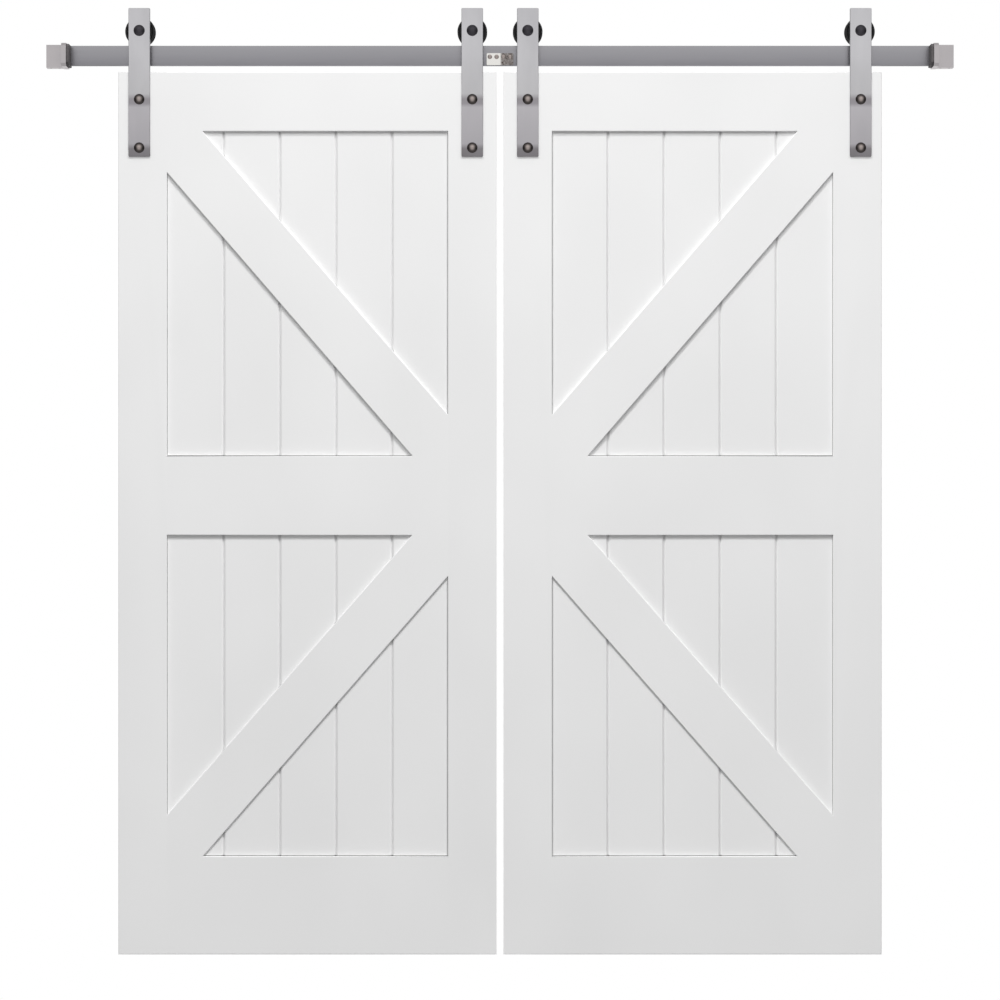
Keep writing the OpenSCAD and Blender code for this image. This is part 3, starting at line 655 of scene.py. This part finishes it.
def set_in(form, shape, places):
    """Copies a small finished shape into a piece, once at each place, and frees it."""
    mould = bpy.data.meshes.new("mould")
    shape.to_mesh(mould)
    shape.free()
    for place in places:
        mould.transform(Matrix.Translation(place))
        form.from_mesh(mould)
        mould.transform(Matrix.Translation(-Vector(place)))
    bpy.data.meshes.remove(mould)


# %% [markdown]
# ### Threads
# A screw thread is one small section carried round a helix. The spin operator makes it
# directly: at every step it turns the section and also lifts it by a share of the pitch.
# The ridge's root sinks a little into the shank, so no gap shows between the two.

# %% A thread's ridge
def thread_ridge(root_r, crest_r, pitch, start, turns, steps=28):
    """A helical ridge from depth start, all in mm, with a taper over its last turn."""
    form = bmesh.new()
    flank, land = pitch * 0.4, pitch * 0.06
    section = [(root_r, -flank), (crest_r, -land), (crest_r, land), (root_r, flank)]
    points = [form.verts.new((r * MM, (start + y) * MM, 0)) for r, y in section]
    face = form.faces.new(points)
    bmesh.ops.spin(
        form, geom=points + list(face.edges) + [face], cent=(0, 0, 0), axis=(0, 1, 0),
        dvec=(0, pitch / steps * MM, 0), angle=2 * math.pi * turns, steps=int(steps * turns),
    )
    last_turn = (start + pitch * (turns - 1)) * MM
    for vert in form.verts:
        past = (vert.co.y - last_turn) / (pitch * MM)
        if past > 0:
            radius = math.hypot(vert.co.x, vert.co.z)
            shrunk = root_r * MM + (radius - root_r * MM) * max(0.0, 1 - past)
            vert.co.x *= shrunk / radius
            vert.co.z *= shrunk / radius
    bmesh.ops.recalc_face_normals(form, faces=form.faces)
    return form


# %% [markdown]
# ### Coach bolts
# The straps are bolted through the leaves with coach bolts: a shallow dome in front, a
# square neck that bites in the strap's square hole, a plain shank and a threaded end. The
# crown is part of a ball, so it mirrors a wide piece of the room. Head, neck and thread are
# made apart and set into one piece, once for each bolt.

# %% Outline of a coach bolt
BOLT_R = 4.95
HEAD_RIM = 1.2
HEAD_EASE = 0.3


def dome_outline(head_r, head_h, length):
    """Crown, rim, underside, shank and chamfered end of a coach bolt, head's seat at 0."""
    cap_h = head_h - HEAD_RIM
    ball_r = (head_r ** 2 + cap_h ** 2) / (2 * cap_h)
    half = math.degrees(math.asin(head_r / ball_r))
    crown = arc((0, ball_r - head_h), ball_r, -90, -90 + half, 14)
    crown[0] = (0, -head_h)
    crown[-1] = (head_r - HEAD_EASE, crown[-1][1] - 0.1)
    rim = [(head_r, -HEAD_RIM * 0.7), (head_r, -HEAD_EASE), (head_r - HEAD_EASE, 0)]
    shank = [(BOLT_R, 0), (BOLT_R, length - 1), (BOLT_R - 1, length), (0, length)]
    return crown + rim + shank


# %% Door bolts and axle bolts
DOOR_HEAD = (12.7, 6.5)
AXLE_HEAD = (13.5, 7.5)
NECK_L = 5
THREAD_DEEP = 0.7
THREAD_PITCH = 1.5
THREADED_L = 16
THREAD_TURNS = 10.5


def coach_bolts(node, body, slot, finish, head, places):
    """Coach bolts with heads of one radius and height at several places, for a node."""
    length = (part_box(node)[1].y - places[0][1]) / MM
    form = bmesh.new()
    set_in(form, turned(dome_outline(*head, length)), places)
    neck = bmesh.new()
    bmesh.ops.create_cube(neck, size=1)
    bmesh.ops.scale(neck, vec=(2 * BOLT_R * MM, NECK_L * MM, 2 * BOLT_R * MM), verts=neck.verts)
    bmesh.ops.translate(neck, vec=(0, NECK_L * MM / 2, 0), verts=neck.verts)
    set_in(form, neck, places)
    root_r = BOLT_R - THREAD_DEEP
    ridge = thread_ridge(root_r, BOLT_R, THREAD_PITCH, length - THREADED_L, THREAD_TURNS)
    set_in(form, ridge, places)
    return close_piece(form, f"{node}_turned", body, slot, finish, node)


for side in SIDES:
    low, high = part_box(f"{side}_door_bolts")
    rows = (high.z - DOOR_HEAD[0] * MM, low.z + DOOR_HEAD[0] * MM)
    centres = [(x, strap_front, z) for x in strap_xs[side].values() for z in rows]
    door_bolts = coach_bolts(
        f"{side}_door_bolts", f"{side}_leaf", "polished_dark_nickel", dark_nickel,
        DOOR_HEAD, centres,
    )
    store_radius(door_bolts, [(x, z) for x, _, z in centres], (0, 2))
    axles = [(x, strap_front, wheel_centre.z) for x in strap_xs[side].values()]
    coach_bolts(
        f"{side}_axle_bolts", f"{side}_leaf", "black_oxide", black_oxide, AXLE_HEAD, axles
    )
    print(side, "leaf:", len(centres), "door bolts and", len(axles), "axle bolts")

# %% [markdown]
# ### Wheels
# A wheel is a nylon disc with a groove that straddles the track, dished faces, and a bore
# for its bearing, which seats on a shoulder in front. Its outline is drawn once as a closed
# section and spun. All its turned corners are then rounded together. Each point also stores
# its distance from the axle, for the tool marks in the finish.

# %% Grooved wheels
BEARING_R = 15.0
BEARING_W = 9.0
BEARING_PLAY = 0.05
SHOULDER = 3
HUB_WALL = 3
ROLL_R = 33.0
TREAD = 3
GROOVE_FLOOR = 3.7
GROOVE_MOUTH = 7.4
DISH = 2
RIM_EASE = 1.5
CORNER_DEG = 20


def wheel_section():
    """Closed outline of a wheel, in mm: rear face, bore, front face and groove."""
    half_w, rim_r = wheel_w / 2 / MM, wheel_r / MM
    seat = BEARING_R + BEARING_PLAY
    hub, web, dished = seat + HUB_WALL, ROLL_R - TREAD, half_w - DISH
    rear = [
        (rim_r, GROOVE_MOUTH), (rim_r, half_w - RIM_EASE), (rim_r - RIM_EASE, half_w),
        (web + DISH, half_w), (web, dished), (hub + DISH, dished), (hub, half_w),
    ]
    stop, lip = -BEARING_W / 2, seat - SHOULDER
    bore = [(seat, half_w), (seat, stop), (lip, stop), (lip, -half_w)]
    front = [(r, -y) for r, y in reversed(rear)]
    return rear + bore + front + [(ROLL_R, -GROOVE_FLOOR), (ROLL_R, GROOVE_FLOOR)]


def round_corners(form, round_mm):
    """Rounds every edge of a turned shape that is sharper than CORNER_DEG."""
    edges = [
        e for e in form.edges
        if len(e.link_faces) == 2 and math.degrees(e.calc_face_angle()) > CORNER_DEG
    ]
    bmesh.ops.bevel(
        form, geom=edges, offset=round_mm * MM, offset_type="OFFSET", segments=2,
        profile=0.5, affect="EDGES", clamp_overlap=True, material=-1,
    )


for side in SIDES:
    for place in ("outer", "inner"):
        body = f"{side}_{place}_wheel"
        centre = (strap_xs[side][place], wheel_centre.y, wheel_centre.z)
        shape = turned(wheel_section(), 96, closed=True)
        round_corners(shape, 0.45)
        form = bmesh.new()
        set_in(form, shape, [centre])
        wheel = close_piece(form, f"{body}_turned", body, "black_nylon", nylon, body)
        store_radius(wheel, [(centre[0], centre[2])], (0, 2))
print("wheels of radius", round(wheel_r / MM, 1), "mm")

# %% [markdown]
# ### Bearings
# Each wheel turns on a sealed ball bearing. The outer ring is ground steel with rounded
# corners. On each face a rubber seal closes the gap to the inner ring and hides the balls. Its
# lip presses a little into that ring, as a seal's does.

# %% Bearing rings and seals
RING_IN = 12.2
SEAL_IN = 7.9
SEAL_OUT = 12.5
SEAL_THICK = 0.6
SEAL_INSET = 0.3


def ring(inner, outer, y0, y1, round_mm):
    """A turned ring between two radii and two depths, its corners rounded."""
    shape = turned([(inner, y0), (outer, y0), (outer, y1), (inner, y1)], 64, closed=True)
    round_corners(shape, round_mm)
    return shape


for side in SIDES:
    for place in ("outer", "inner"):
        body = f"{side}_{place}_wheel"
        centre = [(strap_xs[side][place], wheel_centre.y, wheel_centre.z)]
        half = BEARING_W / 2
        form = bmesh.new()
        set_in(form, ring(RING_IN, BEARING_R, -half, half, 0.4), centre)
        node = f"{body}_bearing"
        close_piece(form, f"{node}_ring", body, "bearing_steel", ground_steel, node)
        form = bmesh.new()
        for y in (SEAL_INSET - half, half - SEAL_INSET - SEAL_THICK):
            set_in(form, ring(SEAL_IN, SEAL_OUT, y, y + SEAL_THICK, 0.15), centre)
        close_piece(form, f"{node}_seals", body, "rubber", rubber)
print("bearings with seals: 4")

# %% [markdown]
# ### Standoffs
# Four standoffs hold the track off the wall, each a turned steel sleeve with rounded ends.
# That is the same shape as a bearing's ring, only longer, so the same function makes it.

# %% Standoffs
STANDOFF_R = 12.7
STANDOFF_BORE_R = 4.25
standoff_low, standoff_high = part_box("standoffs")
standoff_l = (standoff_high.y - standoff_low.y) / MM
fixings = [x for side in SIDES for x in strap_xs[side].values()]

form = bmesh.new()
sleeve = ring(STANDOFF_BORE_R, STANDOFF_R, 0, standoff_l, 0.8)
set_in(form, sleeve, [(x, track_back, 0) for x in fixings])
close_piece(form, "standoffs_turned", "track", "satin_nickel_strap", strap_nickel, "standoffs")
print("standoffs:", len(fixings), "each", round(standoff_l, 2), "mm long")

# %% [markdown]
# ### Lag screws
# A lag screw goes through each standoff: a hexagon head on a washer face, a plain shank
# through track and sleeve, and a coarse wood thread with a point, which stands in the wall
# once the door is hung. The wall's face lies at zero depth. The hexagon is a cone of six
# sides and no taper, turned to face along the screw.

# %% Lag screws
LAG_SHANK_R = 4.0
LAG_CORE_R = 2.9
LAG_ROOT_R = 2.8
LAG_THREAD_R = 3.75
LAG_PITCH = 3.2
LAG_TURNS = 14
NARROWING_L = 1
THREAD_INSIDE = 2
POINT_L = 6
TIP_R = 0.5
WASHER_R = 9
WASHER_THICK = 2
HEX_R = 7.5
HEX_H = 5


def lag_screw():
    """A lag screw whose washer face seats at depth 0, with its thread's ridge."""
    wall = -track_front / MM
    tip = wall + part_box("wall_lag_screws")[1].y / MM
    face, edge = WASHER_R - HEAD_EASE, WASHER_THICK - HEAD_EASE
    outline = [(0, -WASHER_THICK), (face, -WASHER_THICK), (WASHER_R, -edge), (WASHER_R, -HEAD_EASE)]
    outline += [(face, 0), (LAG_SHANK_R, 0), (LAG_SHANK_R, wall - NARROWING_L)]
    outline += [(LAG_CORE_R, wall), (LAG_CORE_R, tip - POINT_L), (TIP_R, tip), (0, tip)]
    thread_from = wall + THREAD_INSIDE
    ridge = thread_ridge(LAG_ROOT_R, LAG_THREAD_R, LAG_PITCH, thread_from, LAG_TURNS)
    head = bmesh.new()
    bmesh.ops.create_cone(
        head, cap_ends=True, segments=6, radius1=HEX_R * MM, radius2=HEX_R * MM, depth=HEX_H * MM
    )
    towards_wall = Matrix.Rotation(math.pi / 2, 3, "X")
    bmesh.ops.rotate(head, cent=(0, 0, 0), matrix=towards_wall, verts=head.verts)
    seat = -(WASHER_THICK + HEX_H / 2) * MM
    bmesh.ops.translate(head, vec=(0, seat, 0), verts=head.verts)
    round_corners(head, 0.6)
    form = bmesh.new()
    for shape in (turned(outline, 48), ridge, head):
        set_in(form, shape, [(0, 0, 0)])
    return form


form = bmesh.new()
set_in(form, lag_screw(), [(x, track_front, 0) for x in fixings])
close_piece(form, "wall_lag_screws_threaded", "track", "zinc_plate", zinc, "wall_lag_screws")
print("lag screws:", len(fixings))

# %% [markdown]
# ## Studio
# The doors hang over a plain pale floor with the wall left out. The floor is paper on a
# light table: it is lit from below, just as strongly as the backdrop, so that no horizon
# shows behind the doors. So much light from below would wash out the doors, so the floor is
# only seen and doesn't light anything.

# %% Floor
FLOOR_GAP = 12 * MM
FLOOR_SIZE = 60.0
BACKDROP = 1.0

form = bmesh.new()
bmesh.ops.create_grid(form, x_segments=1, y_segments=1, size=FLOOR_SIZE / 2)
bmesh.ops.translate(form, vec=(0, 0, cad_low.z - FLOOR_GAP), verts=form.verts)
floor_mesh = bpy.data.meshes.new("floor")
form.to_mesh(floor_mesh)
form.free()
floor = bpy.data.objects.new("floor", floor_mesh)
scene.collection.objects.link(floor)
pale, _, pale_shader = start_finish("pale_paper_lit_from_below", "#000000", 1.0)
pale_shader.inputs["Specular IOR Level"].default_value = 0.0
pale_shader.inputs["Emission Color"].default_value = linear("#ffffff")
pale_shader.inputs["Emission Strength"].default_value = BACKDROP
floor_mesh.materials.append(pale)
floor.visible_diffuse = False
floor.visible_glossy = False
floor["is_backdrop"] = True
print("floor", round(FLOOR_GAP / MM), "mm under the leaves")

# %% [markdown]
# ### Room
# White board shows its relief only when some of the light comes from one side. Most of it
# here is soft all the same, and comes from the whole room, which is brighter overhead than
# at the horizon.

# %% Soft light from the room
ROOM_LOW = 0.29
ROOM_HIGH = 0.52
ROOM_HIGH_FROM = 0.8

world = bpy.data.worlds.new("soft_room")
scene.world = world
world.use_nodes = True
room_tree = world.node_tree
room_tree.nodes.clear()
looking = add_node(room_tree, "ShaderNodeTexCoord").outputs["Generated"]
height = add_node(room_tree, "ShaderNodeSeparateXYZ", {"Vector": looking}).outputs["Z"]


def backdrop(strength):
    """White light of one strength, a number or a node's output."""
    sockets = {"Color": linear("#ffffff"), "Strength": strength}
    return add_node(room_tree, "ShaderNodeBackground", sockets).outputs["Background"]


rise = {
    "Value": height, "From Min": 0.0, "From Max": ROOM_HIGH_FROM,
    "To Min": ROOM_LOW, "To Max": ROOM_HIGH,
}
soft = add_node(room_tree, "ShaderNodeMapRange", rise, interpolation_type="SMOOTHSTEP")
print("room from", ROOM_LOW, "to", ROOM_HIGH)

# %% [markdown]
# What the metals mirror is another kind of room: a broad glow ahead of the doors and one
# behind, which fall off to the sides, and a fainter one from overhead and from the floor. So
# flat steel is even from end to end, its chamfers are a little darker, and a dome is bright
# in its middle.

# %% Glow for the metals to mirror
GLOW_AROUND = 0.2
GLOW_AHEAD = 0.79
GLOW_RISE = math.radians(12)
GLOW_WIDE = math.radians(62)
GLOW_UPRIGHT = 0.45
UPRIGHT_FROM = 0.1
UPRIGHT_TO = 0.7

ahead = {0: looking, 1: (0, -math.cos(GLOW_RISE), math.sin(GLOW_RISE))}
facing = add_node(room_tree, "ShaderNodeVectorMath", ahead, operation="DOT_PRODUCT")
either_way = add_node(
    room_tree, "ShaderNodeMath", {0: facing.outputs["Value"]}, operation="ABSOLUTE"
)
spread = {
    "Value": either_way.outputs["Value"], "From Min": math.cos(GLOW_WIDE),
    "To Min": GLOW_AROUND, "To Max": GLOW_AHEAD,
}
level = add_node(room_tree, "ShaderNodeMapRange", spread, interpolation_type="SMOOTHSTEP")
up_or_down = add_node(room_tree, "ShaderNodeMath", {0: height}, operation="ABSOLUTE")
climb = {
    "Value": up_or_down.outputs["Value"], "From Min": UPRIGHT_FROM, "From Max": UPRIGHT_TO,
    "To Max": GLOW_UPRIGHT,
}
upright = add_node(room_tree, "ShaderNodeMapRange", climb)
both = {0: level.outputs["Result"], 1: upright.outputs["Result"]}
glow = add_node(room_tree, "ShaderNodeMath", both, operation="ADD").outputs["Value"]
print("glow of", GLOW_AHEAD, "ahead, falling off to", GLOW_AROUND)

# %% [markdown]
# The kind of each ray decides which of the rooms it meets. A ray that a metal mirrors gets the
# glow, other light comes from the soft room, and the camera sees a plain white backdrop.

# %% Which ray meets what
ray = add_node(room_tree, "ShaderNodeLightPath").outputs
mirrored = {0: ray["Is Glossy Ray"], 1: backdrop(soft.outputs["Result"]), 2: backdrop(glow)}
lit_room = add_node(room_tree, "ShaderNodeMixShader", mirrored).outputs[0]
looked_at = {0: ray["Is Camera Ray"], 1: lit_room, 2: backdrop(BACKDROP)}
shown = add_node(room_tree, "ShaderNodeMixShader", looked_at).outputs[0]
add_node(room_tree, "ShaderNodeOutputWorld", {"Surface": shown})
print("a backdrop of", BACKDROP, "for the camera")

# %% [markdown]
# ### Lamps
# A wide lamp above the camera makes the leaves' tops a little lighter than their feet, and a
# soft sun behind the doors shows their back. The lamps are kept out of reflections, which
# already have the glow.

# %% Wide lamp and the sun behind
def lamp(name, kind, place, towards, energy, **options):
    """A lamp at a place that shines towards another."""
    data = bpy.data.lights.new(name, kind)
    data.energy = energy
    for option, value in options.items():
        setattr(data, option, value)
    holder = bpy.data.objects.new(name, data)
    holder.location = place
    holder.rotation_mode = "QUATERNION"
    holder.rotation_quaternion = (Vector(place) - Vector(towards)).to_track_quat("Z", "Y")
    holder.visible_glossy = False
    scene.collection.objects.link(holder)
    return holder


WIDE_LAMP_WATTS = 69
SUN_BEHIND = 1.5

lamp(
    "wide_lamp", "AREA", (0, -3, 2), (0, 0, -0.6), WIDE_LAMP_WATTS,
    shape="RECTANGLE", size=3.0, size_y=1.4,
)
lamp("sun_behind", "SUN", (0.3, 1, 0.6), (0, 0, 0), SUN_BEHIND, angle=math.radians(25))
print("lamp of", WIDE_LAMP_WATTS, "W and a sun of", SUN_BEHIND, "behind")

# %% [markdown]
# Each leaf has its own soft sun from above and from the middle of the pair, so that the
# shading of the two is as symmetrical as the doors themselves. Light linking keeps each sun
# to its own leaf, and lets only the boards cast shadows in it, so that the recesses are drawn
# clearly and the straps stay clean.

# %% A sun for each leaf
SUN_ON_LEAF = 1.6
SUN_ASIDE = 0.45
SUN_SOFT = math.radians(9)
PAST_MIDDLE = 10 * MM

casting = bpy.data.collections.new("boards_that_cast_shadows")
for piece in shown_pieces():
    if any(piece.name == f"{side}_{board}_soft" for side in SIDES for board in BOARDS):
        casting.objects.link(piece)

for side, sign in SIDES.items():
    place = (-sign * SUN_ASIDE, -1, 1.5)
    sun = lamp(f"sun_on_{side}", "SUN", place, (0, 0, 0), SUN_ON_LEAF, angle=SUN_SOFT)
    lit = bpy.data.collections.new(f"lit_on_{side}")
    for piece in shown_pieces():
        centre = sum((Vector(c) for c in piece.bound_box), Vector()) / 8
        if centre.x * sign > -PAST_MIDDLE:
            lit.objects.link(piece)
    sun.light_linking.receiver_collection = lit
    sun.light_linking.blocker_collection = casting

# %% [markdown]
# ### Camera
# The doors are seen straight on, from half their height, with a moderately long lens. The
# camera is level and has no shift, so uprights stay upright.

# %% Camera
CAMERA_AWAY = 6.0
SEEN_WIDTH = 2.418
CAMERA_HEIGHT = -1.0766

camera_data = bpy.data.cameras.new("front_camera")
camera_data.sensor_width = 36.0
camera_data.lens = camera_data.sensor_width * CAMERA_AWAY / SEEN_WIDTH
camera_data.clip_end = 100
camera = bpy.data.objects.new("front_camera", camera_data)
camera.location = (0, leaf_front - CAMERA_AWAY, CAMERA_HEIGHT)
camera.rotation_euler = (math.pi / 2, 0, 0)
scene.collection.objects.link(camera)
scene.camera = camera
scene.view_settings.view_transform = "Standard"
print("lens", round(camera_data.lens, 2), "mm")

# %% [markdown]
# ## Size
# The finished model's box is measured here, as the construction's box was at the start.
# The finished model has to stay inside the construction's box.

# %% Measure the finished model's box
low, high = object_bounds()
